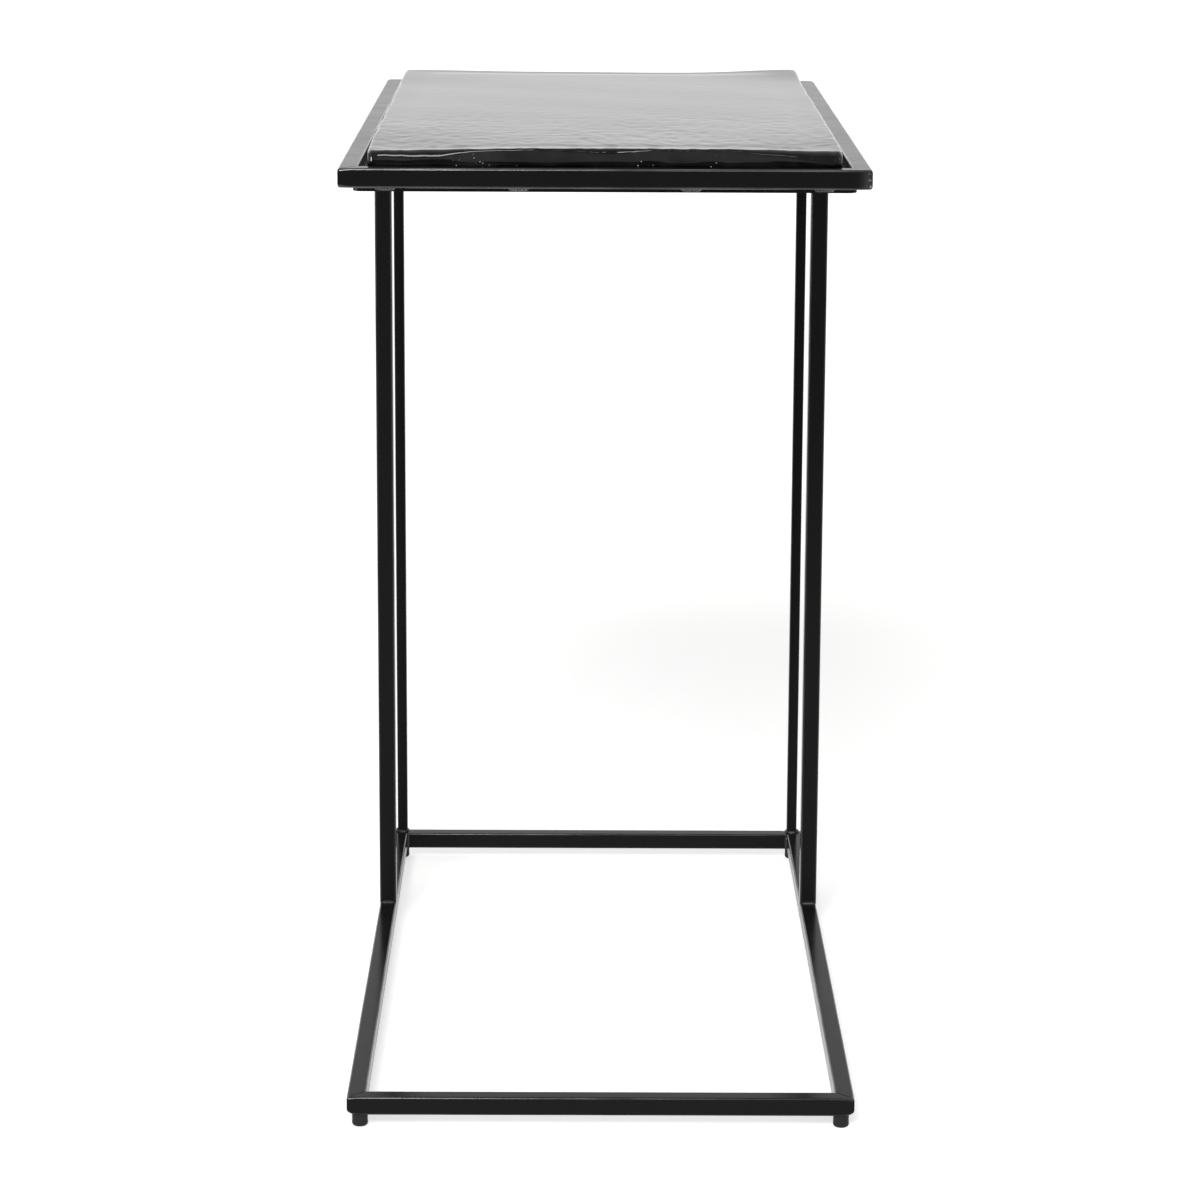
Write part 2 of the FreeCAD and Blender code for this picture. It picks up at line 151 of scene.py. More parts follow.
# Radius of the rounded rim along the front edge, at places from its left end to its right end
FRONT_RIM = (
    (-140 * MM, 4.1 * MM),
    (-108 * MM, 5.2 * MM),
    (-76 * MM, 1.9 * MM),
    (-42 * MM, 1.6 * MM),
    (2 * MM, 3.6 * MM),
    (32 * MM, 1.7 * MM),
    (80 * MM, 1.7 * MM),
    (106 * MM, 4.4 * MM),
    (140 * MM, 6.8 * MM),
)
FRONT_RIM_START = 12 * MM       # distance behind the front edge at which this rim begins
FRONT_RIM_FULL = 1 * MM
FRONT_RIM_WANDER = 0.35         # share of the other edges' wander that it has
RIM_RADIUS = 3.0 * MM           # along the other edges, where it wanders
RIM_WANDER = 0.9 * MM
RIM_WANDER_PITCH = 48 * MM
# Height of the hammered ripples on the top, of the creases among them, and of the finest ripples,
# each with its pitch across the table and along it
RIPPLE = (0.024 * MM, 40 * MM, 46 * MM)
CREASE = (0.036 * MM, 9 * MM, 19 * MM)
FINE_RIPPLE = (0.010 * MM, 5 * MM, 10 * MM)
FRONT_RIPPLE = 8.0              # how much stronger these are at the front edge
RIPPLE_START = -0.1             # where they begin to grow, from the middle, 0, to the front edge, 1
LIP_HEIGHT = 0.14 * MM          # of the low lip along the top's edges
LIP_REACH = 5 * MM
DIP_DEPTH = 0.42 * MM           # of the shallow hollow just inside the lip
DIP_PLACE = 16 * MM
DIP_REACH = 11 * MM
EDGE_BLEND = 8 * MM             # how softly the lip and the hollow turn at a corner
CORNER_LEAN = 0.8 * MM          # how far the walls of its front corners lean in at the rim
CORNER_LEAN_REACH = 16 * MM
WALL_RIPPLE = 0.6 * MM
WALL_RIPPLE_PITCH = 19 * MM
WALL_RIPPLE_SQUASH = 2          # how much shorter these ripples are upwards

# Feet
FLAT_RING = 0.5                 # where a turned flat has its inner ring, as a share of its radius
PAD_RIM_R = 2.2 * MM
PAD_RIM_STEPS = 8
PAD_SHOULDER_R = 0.5 * MM
PAD_SHOULDER_STEPS = 4
PAD_SOLE_RING = 0.4
PAD_WAIST = 0.12 * MM           # how far the side is hollow at its middle
PAD_WAIST_PLACES = (0.2, 0.5, 0.8)
PAD_SEGMENTS = 48
PAD_SOCKET_GAP = 0.03 * MM
THREAD_PITCH = 0.8 * MM
THREAD_DEPTH = 0.42 * MM
THREAD_SEGMENTS = 28
THREAD_STEPS = 8                # points along one pitch
THREAD_RUNOUT = 0.35            # share of its height that it starts from at the stud's ends
THREAD_CREST = 1.25             # above 1, crests are flat
THREAD_SHARP_DEGREES = 80
BUMPER_R = 5 * MM
BUMPER_EDGE_R = 0.7 * MM
BUMPER_EDGE_STEPS = 6
BUMPER_ROWS = 3
BUMPER_SEGMENTS = 40

# Room and light
FLOOR_RADIUS = 60.0
FLOOR_SEGMENTS = 96
FLOOR_COLOUR = (0.72, 0.72, 0.72)
FLOOR_GLOW = (1.0, 5.0, 0.61, 1.0)      # two distances from the table's middle, and the glow there
BACKGROUND_RAYS = ("Is Camera Ray", "Is Glossy Ray", "Is Transmission Ray")     # to these it looks white
# The sky's brightness at heights from the horizon, 0, to straight above, 1
SKY_LEVELS = (
    (0.0, 1.18),
    (0.070, 1.16),
    (0.115, 0.92),
    (0.20, 0.82),
    (0.30, 0.60),
    (0.5, 0.26),
    (1.0, 0.24),
)
SKY_TINT = (1.0, 1.003, 0.965)
SKY_BEHIND = (-0.2, 0.6, 0.4, 1.0)      # two places from front to back, and the sky's share there
TRAY = (0, 0, 0.62)                     # what most lamps face
FLOOR_MIDDLE = (0, 0, 0)
SLAB_FRONT_LEFT = (-0.15, -0.3, 0.635)
GRID_HALF_SPREAD = math.radians(14)
# Each lamp's place, what it faces, width and height, radiance, and half its spread if a grid narrows it
LAMPS = {
    "key": ((-0.75, -4.2, 3.1), TRAY, (1.3, 1.6), 31.0, None),
    "fill": ((0.42, -4.2, 2.9), TRAY, (0.6, 0.5), 11.0, None),
    "left_strip": ((-2.1, -0.6, 0.45), SLAB_FRONT_LEFT, (0.4, 0.3), 60.0, GRID_HALF_SPREAD),
    "overhead": ((0.0, 0.4, 3.2), FLOOR_MIDDLE, (2.6, 2.6), 0.7, None),
}
PANEL_DIRECTIONS = (0, 45, 135, 180, 225, 315)      # of the soft panels round the table, in degrees from +X
PANEL_DISTANCE = 3.6
PANEL_HEIGHT = 1.9
PANEL_SIZE = (1.3, 1.1)
PANEL_RADIANCE = 1.25


# Node patterns

def map_range(nodes, links, value, limits, smooth=False):
    """A value taken from one range to another; the limits are the first range's ends, then the second's."""
    node = nodes.new("ShaderNodeMapRange")
    node.clamp = True
    if smooth:
        node.interpolation_type = "SMOOTHSTEP"
    for socket, limit in zip(RANGE_SOCKETS, limits):
        node.inputs[socket].default_value = limit
    links.new(value, node.inputs["Value"])
    return node.outputs["Result"]


def calculate(nodes, links, operation, first, second):
    node = nodes.new("ShaderNodeMath")
    node.operation = operation
    links.new(first, node.inputs[0])
    links.new(second, node.inputs[1])
    return node.outputs["Value"]


def mix_colours(nodes, links, factor, first, second):
    """A mix of two colours, each given plainly or as another node's output."""
    node = nodes.new("ShaderNodeMix")
    node.data_type = "RGBA"
    links.new(factor, node.inputs["Factor"])
    for socket, colour in ((MIX_FIRST, first), (MIX_SECOND, second)):
        if isinstance(colour, tuple):
            node.inputs[socket].default_value = (*colour, 1)
        else:
            links.new(colour, node.inputs[socket])
    return node.outputs[MIX_RESULT]


# Materials

class Finish:
    """A node material with the few node patterns that the finishes here are made of."""

    def __init__(self, name):
        self.material = bpy.data.materials.new(name)
        self.material.use_nodes = True
        self.nodes = self.material.node_tree.nodes
        self.links = self.material.node_tree.links
        self.shader = self.nodes["Principled BSDF"]
        self.place = self.nodes.new("ShaderNodeTexCoord").outputs["Object"]

    def set(self, **values):
        for socket, value in values.items():
            self.shader.inputs[socket.replace("_", " ")].default_value = value

    def join(self, output, socket):
        self.links.new(output, self.shader.inputs[socket])

    def noise(self, pitch, detail=2.0, roughness=0.5):
        node = self.nodes.new("ShaderNodeTexNoise")
        node.inputs["Scale"].default_value = 1 / pitch
        node.inputs["Detail"].default_value = detail
        node.inputs["Roughness"].default_value = roughness
        self.links.new(self.place, node.inputs["Vector"])
        return node.outputs["Fac"]

    def cells(self, pitch, output="Distance"):
        node = self.nodes.new("ShaderNodeTexVoronoi")
        node.inputs["Scale"].default_value = 1 / pitch
        self.links.new(self.place, node.inputs["Vector"])
        return node.outputs[output]

    def ramp(self, factor, low, high, to_low=0.0, to_high=1.0):
        return map_range(self.nodes, self.links, factor, (low, high, to_low, to_high))

    def times(self, first, second):
        return calculate(self.nodes, self.links, "MULTIPLY", first, second)

    def plus(self, first, second):
        return calculate(self.nodes, self.links, "ADD", first, second)

    def colours(self, factor, first, second):
        return mix_colours(self.nodes, self.links, factor, first, second)

    def steep(self):
        """One on upright sides, zero on the flat."""
        geometry = self.nodes.new("ShaderNodeNewGeometry")
        parts = self.nodes.new("ShaderNodeSeparateXYZ")
        self.links.new(geometry.outputs["Normal"], parts.inputs["Vector"])
        steep_below, flat_above = 0.2, 0.5
        return self.ramp(parts.outputs["Z"], steep_below, flat_above, 1, 0)

    def height(self):
        """Height above the floor, at rest."""
        parts = self.nodes.new("ShaderNodeSeparateXYZ")
        self.links.new(self.place, parts.inputs["Vector"])
        return parts.outputs["Z"]

    def worn(self):
        """How worn each spot is, as the mesh says it."""
        node = self.nodes.new("ShaderNodeAttribute")
        node.attribute_name = "wear"
        return node.outputs["Fac"]

    def bump(self, *layers):
        """Bumps on bumps, each with its height pattern and how high it stands."""
        normal = None
        for height, distance in layers:
            node = self.nodes.new("ShaderNodeBump")
            node.inputs["Distance"].default_value = distance
            self.links.new(height, node.inputs["Height"])
            if normal is not None:
                self.links.new(normal, node.inputs["Normal"])
            normal = node.outputs["Normal"]
        self.join(normal, "Normal")


def powder_coat():
    """Satin black powder coat: orange peel, faint clouds, paler towards the floor, a painted highlight along
    worn edges, and scuffs where edges are worn.
    """
    dark = (0.0025, 0.0025, 0.0026)
    pale = (0.0050, 0.0049, 0.0047)
    low_pale = (0.0100, 0.0103, 0.0108)
    worn_edge_highlight = (0.024, 0.024, 0.025)
    bare = (0.40, 0.44, 0.48)
    coat = Finish("powder_coat")
    coat.set(Specular_IOR_Level=0.05, Coat_Roughness=0.14)
    black = coat.colours(coat.noise(60 * MM, 3), dark, pale)
    # the coat is made paler towards the floor, more so the lower it is
    greyed = coat.colours(coat.ramp(coat.height(), 0, PALING_HEIGHT, 1, 0), black, low_pale)
    patches = coat.ramp(coat.noise(45 * MM, 2), 0.3, 0.65, 0.35, 1.0)
    rubbed_and_sheen = coat.times(coat.ramp(coat.worn(), 0.0, 0.3), patches)
    coat.join(coat.ramp(rubbed_and_sheen, 0, 1, 0, 0.9), "Coat Weight")
    # Worn edges are painted a lighter colour, which is a painted highlight along them; their extra gloss is
    # real
    edge_highlit = coat.colours(rubbed_and_sheen, greyed, worn_edge_highlight)
    spots = coat.ramp(coat.noise(1.9 * MM, 4, 0.65), 0.50, 0.57)
    scuff = coat.times(spots, coat.ramp(coat.worn(), 0.5, 1.0))
    coat.join(coat.colours(scuff, edge_highlit, bare), "Base Color")
    satin = coat.ramp(coat.noise(25 * MM, 3), 0.3, 0.7, 0.15, 0.20)
    smoothed = coat.plus(satin, coat.ramp(rubbed_and_sheen, 0, 1, 0, -0.07))
    coat.join(coat.plus(smoothed, coat.ramp(scuff, 0, 1, 0, 0.25)), "Roughness")
    coat.bump((coat.noise(1.6 * MM, 2), 0.006 * MM))
    return coat.material


def cast_glass():
    """Black cast glass: gloss, clouds, patches of softer gloss, fine ripples, and seeds in its walls, pitted
    and each with a painted glint.
    """
    dark = (0.0010, 0.0012, 0.0011)
    cloudy = (0.0085, 0.0088, 0.0082)
    # the seeds' near-white colour is a painted glint, light caught in their small pits
    seed = (0.55, 0.56, 0.54)
    seed_pitch = 1.9 * MM
    glass = Finish("cast_glass")
    glass.set(Specular_IOR_Level=0.14, IOR=1.5)
    clouds = glass.ramp(glass.noise(26 * MM, 5, 0.6), 0.42, 0.72)
    depth = glass.colours(clouds, dark, cloudy)
    clusters = glass.times(glass.ramp(glass.noise(24 * MM, 1), 0.60, 0.64), glass.steep())
    chosen = glass.times(glass.ramp(glass.cells(seed_pitch, "Color"), 0.58, 0.60), clusters)
    seed_pits_and_glints = glass.times(glass.ramp(glass.cells(seed_pitch), 0.10, 0.20, 1, 0), chosen)
    glass.join(glass.colours(seed_pits_and_glints, depth, seed), "Base Color")
    haze = glass.ramp(glass.noise(34 * MM, 4, 0.6), 0.35, 0.72, 0.03, 0.085)
    glass.join(haze, "Roughness")
    glass.bump((glass.noise(9 * MM, 2), 0.006 * MM), (seed_pits_and_glints, 0.03 * MM))
    return glass.material


def foot_plastic():
    """Moulded dark plastic with a fine eroded grain."""
    dark = (0.012, 0.012, 0.012)
    pale = (0.022, 0.022, 0.021)
    plastic = Finish("foot_plastic")
    plastic.set(Specular_IOR_Level=0.15)
    plastic.join(plastic.colours(plastic.noise(4 * MM, 3), dark, pale), "Base Color")
    plastic.join(plastic.ramp(plastic.noise(2 * MM, 3), 0.3, 0.7, 0.42, 0.6), "Roughness")
    plastic.bump((plastic.noise(0.35 * MM, 3), 0.02 * MM))
    return plastic.material


def zinc_steel():
    """Zinc-plated steel with a faint spangle and a little dulling."""
    cool = (0.50, 0.51, 0.52)
    warm = (0.68, 0.68, 0.66)
    zinc = Finish("zinc_steel")
    zinc.set(Metallic=1.0)
    spangle = zinc.cells(0.9 * MM, "Color")
    tone = zinc.ramp(spangle, 0.0, 1.0, 0.35, 0.65)
    zinc.join(zinc.colours(tone, cool, warm), "Base Color")
    zinc.join(zinc.ramp(zinc.noise(1.5 * MM, 3), 0.3, 0.7, 0.26, 0.42), "Roughness")
    zinc.bump((zinc.noise(0.3 * MM, 2), 0.004 * MM))
    return zinc.material


def bumper_silicone():
    """Milky silicone, soft-looking, with a little dust."""
    greyed = (0.66, 0.67, 0.66)
    milky = (0.80, 0.80, 0.78)
    rubber = Finish("bumper_silicone")
    rubber.set(Subsurface_Weight=0.35, Subsurface_Scale=1.5 * MM, IOR=1.41)
    rubber.join(rubber.colours(rubber.noise(3 * MM, 3), greyed, milky), "Base Color")
    rubber.join(rubber.ramp(rubber.noise(1.2 * MM, 3), 0.3, 0.7, 0.3, 0.5), "Roughness")
    rubber.bump((rubber.noise(0.5 * MM, 2), 0.006 * MM))
    return rubber.material


POWDER_COAT = powder_coat()
CAST_GLASS = cast_glass()
FOOT_PLASTIC = foot_plastic()
ZINC_STEEL = zinc_steel()
BUMPER_SILICONE = bumper_silicone()


# Meshes

class Shape:
    """Points and faces that grow ring by ring, with how worn each point is."""

    def __init__(self):
        self.points = []
        self.faces = []
        self.wear = []

    def ring(self, points, wear=None):
        """Adds points and returns their numbers."""
        first = len(self.points)
        self.points += [Vector(p) for p in points]
        self.wear += wear if wear else [0.0] * len(points)
        return list(range(first, len(self.points)))

    def band(self, lower, upper):
        """Faces between two closed rings of as many points."""
        count = len(lower)
        for i in range(count):
            j = (i + 1) % count
            self.faces.append((lower[i], lower[j], upper[j], upper[i]))

    def skin(self, rings):
        for lower, upper in zip(rings, rings[1:]):
            self.band(lower, upper)

    def cap(self, ring):
        self.faces.append(tuple(ring))

    def fan(self, ring, centre):
        """Faces from a closed ring to one point."""
        middle = self.ring([centre])[0]
        for i in range(len(ring)):
            self.faces.append((ring[i], ring[(i + 1) % len(ring)], middle))


def add_piece(name, shape, finish, body, node, sharp_degrees=SHARP_DEGREES):
    """One object of the shape, with its finish, riding on a body and standing for a CAD node."""
    mesh = bpy.data.meshes.new(name)
    mesh.from_pydata(shape.points, [], shape.faces)
    mesh.attributes.new("wear", "FLOAT", "POINT").data.foreach_set("value", shape.wear)
    build = bmesh.new()
    build.from_mesh(mesh)
    bmesh.ops.recalc_face_normals(build, faces=build.faces)
    build.to_mesh(mesh)
    build.free()
    mesh.shade_smooth()
    mesh.set_sharp_from_angle(angle=math.radians(sharp_degrees))
    mesh.materials.append(finish)
    piece = bpy.data.objects.new(name, mesh)
    bpy.context.scene.collection.objects.link(piece)
    weighted = piece.modifiers.new("even_shading", "WEIGHTED_NORMAL")
    weighted.keep_sharp = True
    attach(piece, body)
    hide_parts(node)
    return piece


def quarter_round(radius, steps):
    """Inset and drop of points on a rounded edge, from the upright side to the flat."""
    angles = [math.radians(90 * i / steps) for i in range(steps + 1)]
    return [(radius * (1 - math.cos(a)), radius * (1 - math.sin(a))) for a in angles]


def smooth_share(value, low, high):
    """Zero below one value, one above another, and a smooth rise between them."""
    share = min(1.0, max(0.0, (value - low) / (high - low)))
    return share * share * (3 - 2 * share)


def noise_at(x, y, use):
    return noise.noise(Vector((x, y, NOISE_CUT[use])))


# Tubes and bars

def square_section(size, radius, outer_radius):
    """Points round a square section, from 0 to its size both ways, and how exposed to wear each one is."""
    points = []
    wear = []
    far = size - radius
    edges = (
        (far, radius, radius),
        (far, far, radius),
        (outer_radius, size - outer_radius, outer_radius),
        (outer_radius, outer_radius, outer_radius),
    )
    for quarter, (a, b, edge_radius) in enumerate(edges):
        for i in range(EDGE_STEPS + 1):
            angle = math.radians(90 * (quarter - 1 + i / EDGE_STEPS))
            points.append((a + edge_radius * math.cos(angle), b + edge_radius * math.sin(angle)))
            wear.append(math.sin(math.pi * i / EDGE_STEPS))
    return points, wear


def rail_end(half, inward, station):
    """Place along the rail, and distance from its outer side, of a point near the mitred, rounded corner."""
    angle = math.radians(45 * station / CORNER_STEPS)
    outer_end = CORNER_R * (1 - math.cos(math.radians(45)))
    last_inward = max(inward, outer_end)
    share = math.sin(angle) / math.sin(math.radians(45))
    start = half - last_inward - CORNER_R * math.sin(math.radians(45))
    along = start + (half - last_inward - start) * share
    return along, max(inward, CORNER_R * (1 - math.cos(angle)))


def rail_section(size, from_corner):
    """A rail's section, whose outer edges grow rounder towards a corner."""
    share = smooth_share(CORNER_EDGE_REACH - from_corner, 0, CORNER_EDGE_REACH)
    return square_section(size, TUBE_EDGE_R, TUBE_EDGE_R + (CORNER_EDGE_R - TUBE_EDGE_R) * share)


def rail_shape(half, size, worn):
    """A mitred tube: along its length, inwards from its outer side, and up."""
    middle = size / 2
    shape = Shape()
    stations = []
    for end in (-1, 1):
        rings = []
        for shift in CORNER_STATIONS:
            section, edge_wear = rail_section(size, shift)
            points = [(end * (half - shift - inward), inward, up) for inward, up in section]
            rings.append(shape.ring(points, [worn * w for w in edge_wear]))
        section, edge_wear = rail_section(size, 0)
        for station in range(CORNER_STEPS + 1):
            points = []
            for inward, up in section:
                along, inward = rail_end(half, inward, station)
                if station == CORNER_STEPS:
                    along -= SEAM_WIDTH
                points.append((end * along, inward, up))
            wear = worn + (CORNER_WEAR - worn) * station / CORNER_STEPS
            rings.append(shape.ring(points, [wear * w for w in edge_wear]))
        seam = []
        for inward, up in section:
            along, inward = rail_end(half, inward, CORNER_STEPS)
            sink = 1 - SEAM_DEPTH / middle
            seam.append((end * along, middle + (inward - middle) * sink, middle + (up - middle) * sink))
        rings.append(shape.ring(seam))
        shape.cap(rings[-1])
        stations.append(rings)
    shape.skin(list(reversed(stations[0])) + stations[1])
    return shape


def placed(shape, matrix):
    shape.points = [matrix @ p for p in shape.points]
    return shape


def axes(along, inward, up, origin):
    """A placement from the directions that local X, Y and Z take."""
    turn = Matrix((along, inward, up)).transposed()
    return Matrix.Translation(origin) @ turn.to_4x4()


def scuff_corner(shape):
    """Wears the points round the tray's front right corner."""
    low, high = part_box("top_front_rail")
    corner = Vector((high.x, low.y, (low.z + high.z) / 2))
    for i, point in enumerate(shape.points):
        away = (point - corner) * Vector((1, 1, 1 / SCUFF_RISE))
        shape.wear[i] = max(shape.wear[i], math.exp(-(away.length / SCUFF_REACH) ** 2))


def grind_corners(shape):
    """Grinds away the lower front corners of the base."""
    low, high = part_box("base_front_rail")
    middle = (low.z + high.z) / 2
    for point in shape.points:
        from_side = high.x - abs(point.x)
        from_front = point.y - low.y
        if point.z < middle and from_side < GRIND_WIDTH and from_front < GRIND_DEPTH:
            share = (1 - from_side / GRIND_WIDTH) ** 2 * (1 - (from_front / GRIND_DEPTH) ** 2)
            point.z += GRIND_HEIGHT * share * (middle - point.z) / (middle - low.z)


def add_rails(level):
    directions = {
        "front": Vector((1, 0, 0)),
        "right": Vector((0, 1, 0)),
        "rear": Vector((-1, 0, 0)),
        "left": Vector((0, -1, 0)),
    }
    for side, along in directions.items():
        node = level + "_" + side + "_rail"
        low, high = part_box(node)
        half = abs((high - low).dot(along)) / 2
        inward = UP.cross(along)
        outer = low if inward.dot(Vector((1, 1, 0))) > 0 else high
        origin = (low + high) / 2
        origin += inward * inward.dot(outer - origin)
        origin.z = low.z
        shape = placed(rail_shape(half, high.z - low.z, EDGE_WEAR[level]), axes(along, inward, UP, origin))
        scuff_corner(shape)
        grind_corners(shape)
        add_piece(level + "_" + side + "_tube", shape, POWDER_COAT, "frame", node)


def add_uprights():
    radii = {"front": TUBE_EDGE_R, "rear": BAR_EDGE_R}
    for place, radius in radii.items():
        for side in ("left", "right"):
            node = place + "_upright_" + side
            low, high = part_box(node)
            section, edge_wear = square_section(high.x - low.x, radius, radius)
            wear = [POST_WEAR * w for w in edge_wear]
            shape = Shape()
            rings = []
            for z in (low.z, high.z):
                rings.append(shape.ring([(low.x + a, low.y + b, z) for a, b in section], wear))
            shape.skin(rings)
            for ring in rings:
                shape.cap(ring)
            add_piece(place + "_post_" + side, shape, POWDER_COAT, "frame", node)


# Sheet under the tray

def sheet_outline(low, high):
    """The right half of the sheet's outline from front to rear, notched for the uprights and their beads."""
    front_low, front_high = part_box("front_upright_right")
    rear_low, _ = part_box("rear_upright_right")
    front_room = BEAD_UPRIGHT + NOTCH_GAP
    front_side = front_low.x - NOTCH_GAP
    rear_side = rear_low.x - BEAD_BAR - NOTCH_GAP
    points = []
    for i in range(SHEET_CORNER_STEPS + 1):
        angle = math.radians(-90 + 90 * i / SHEET_CORNER_STEPS)
        x = high.x - SHEET_CORNER_R + SHEET_CORNER_R * math.cos(angle)
        points.append((x, low.y + SHEET_CORNER_R + SHEET_CORNER_R * math.sin(angle)))
    points += [
        (high.x, front_low.y - front_room),
        (front_side, front_low.y - front_room),
        (front_side, front_high.y + front_room),
        (high.x, front_high.y + front_room),
        (high.x, rear_low.y - NOTCH_GAP),
        (rear_side, rear_low.y - NOTCH_GAP),
        (rear_side, high.y),
    ]
    return points


def add_sheet():
    low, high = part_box("tray_sheet")
    right = sheet_outline(low, high)
    outline = right + [(-x, y) for x, y in reversed(right)]
    shape = Shape()
    rings = [shape.ring([(x, y, z) for x, y in outline]) for z in (low.z, high.z)]
    shape.skin(rings)
    for ring in rings:
        shape.cap(ring)
    piece = add_piece("tray_pan", shape, POWDER_COAT, "frame", "tray_sheet")
    bevel = piece.modifiers.new("broken_edges", "BEVEL")
    bevel.width = SHEET_EDGE_R
    bevel.segments = SHEET_EDGE_STEPS
    bevel.limit_method = "ANGLE"
    piece.modifiers.move(1, 0)


# Weld beads

def add_bead(shape, point, out, up, length, leg, hollow, worn, seed):
    """A rippled bead, round or hollow, in a corner at the point, that grows outwards and upwards from it."""
    along = out.cross(up)
    count = round(length / BEAD_STATION)
    rings = []
    for i in range(count + 1):
        place = (i / count - 0.5) * length
        from_end = 1 - abs(2 * i / count - 1)
        taper = min(1.0, BEAD_END + math.sqrt(from_end * length / (BEAD_TAPER * leg)))
        uneven = 1 + BEAD_UNEVENNESS * noise_at(place / (BEAD_UNEVEN_PITCH * leg), seed, "bead")
        ring = [point + along * place]
        wear = [0.0]
        for j in range(BEAD_ROUND_STEPS + 1):
            angle = math.radians(90 * j / BEAD_ROUND_STEPS)
            trail = BEAD_TRAIL * BEAD_RIPPLE * math.sin(2 * angle)
            ripple = abs(math.sin(math.pi * (place + trail) / BEAD_RIPPLE + seed))
            reach = leg * taper * uneven * (1 - BEAD_RIPPLE_DEPTH * (1 - ripple ** BEAD_RIPPLE_POWER))
            reach = min(reach, leg)
            side, rise = math.cos(angle), math.sin(angle)
            if hollow:
                side, rise = 1 - rise, 1 - side
            ring.append(point + along * place + (out * side + up * rise) * reach)
            # the ripples' crests are worn most, so they carry the painted highlight
            wear.append(worn * ripple)
        rings.append(shape.ring(ring, wear))
    shape.skin(rings)
    shape.cap(rings[0])
    shape.cap(rings[-1])


def add_bead_piece(name, node, beads, worn=BEAD_WEAR):
    shape = Shape()
    for number, (point, out, up, length, leg, hollow) in enumerate(beads):
        seed = BEAD_SEED_STEP * number
        add_bead(shape, Vector(point), Vector(out), Vector(up), length, leg, hollow, worn, seed)
    add_piece(name, shape, POWDER_COAT, "frame", node, BEAD_SHARP_DEGREES)


def upright_beads(z, up, at_feet):
    """Beads round the uprights where they meet the rails' faces at height z."""
    beads = []
    for side, sign in (("left", -1), ("right", 1)):
        low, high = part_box("front_upright_" + side)
        x = (low.x + high.x) / 2
        length = high.x - low.x - 2 * TUBE_EDGE_R
        beads.append(((x, low.y, z), (0, -1, 0), up, length, BEAD_UPRIGHT, False))
        beads.append(((x, high.y, z), (0, 1, 0), up, length, BEAD_UPRIGHT, False))
        low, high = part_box("rear_upright_" + side)
        x, y = (low.x + high.x) / 2, (low.y + high.y) / 2
        length = high.x - low.x - 2 * BAR_EDGE_R
        inner_x, outer_x = (high.x, low.x) if sign < 0 else (low.x, high.x)
        inner_leg = BEAD_FILLET if at_feet else BEAD_BAR
        beads.append(((inner_x, y, z), (-sign, 0, 0), up, length, inner_leg, at_feet))
        beads.append(((outer_x, y, z), (sign, 0, 0), up, length, BEAD_BAR, False))
        if at_feet:
            beads.append(((x, low.y, z), (0, -1, 0), up, length, BEAD_BAR, False))
    return beads


def corner_beads(level):
    """Upright beads in the four inner corners of a frame."""
    low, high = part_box(level + "_right_rail")
    inner_x = low.x
    inner_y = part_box(level + "_rear_rail")[0].y
    z = (low.z + high.z) / 2
    length = high.z - low.z - 2 * TUBE_EDGE_R
    beads = []
    for x in (-1, 1):
        for y in (-1, 1):
            beads.append(((x * inner_x, y * inner_y, z), (-x, 0, 0), (0, -y, 0), length, BEAD_CORNER, False))
    return beads


def evenly_spaced(spacing, room):
    """Places along a line about its middle, as many as fit the room."""
    count = int(room / spacing) + 1
    return [(i - (count - 1) / 2) * spacing for i in range(count)]


def tack_beads():
    """Short beads along the sheet's edges, under the tray's rails."""
    low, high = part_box("tray_sheet")
    upright_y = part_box("front_upright_right")[0].y
    margin = SHEET_CORNER_R + TACK_LENGTH / 2
    outer = high.x - TACK_CORNER_INSET
    inner = TACK_PAIR_SPACING / 2
    side_middle = (low.y + upright_y) / 2
    beads = []
    for end, edge in ((-1, low), (1, high)):
        for x in (-outer, -inner, inner, outer):
            beads.append(((x, edge.y, high.z), (0, end, 0), -UP, TACK_LENGTH, BEAD_TACK, False))
        for y in evenly_spaced(TACK_SIDE_SPACING, upright_y - low.y - 2 * margin):
            point = (edge.x, side_middle + y, high.z)
            beads.append((point, (end, 0, 0), -UP, TACK_LENGTH, BEAD_TACK, False))
    return beads


def add_welds():
    base_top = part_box("front_upright_right")[0].z
    tray_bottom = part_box("front_upright_right")[1].z
    add_bead_piece("upright_foot_beads", "upright_foot_welds", upright_beads(base_top, UP, True))
    add_bead_piece("upright_head_beads", "upright_head_welds", upright_beads(tray_bottom, -UP, False))
    add_bead_piece("top_corner_beads", "top_corner_welds", corner_beads("top"))
    add_bead_piece("base_corner_beads", "base_corner_welds", corner_beads("base"))
    add_bead_piece("sheet_tacks", "sheet_tack_welds", tack_beads(), TACK_WEAR)


# Slab

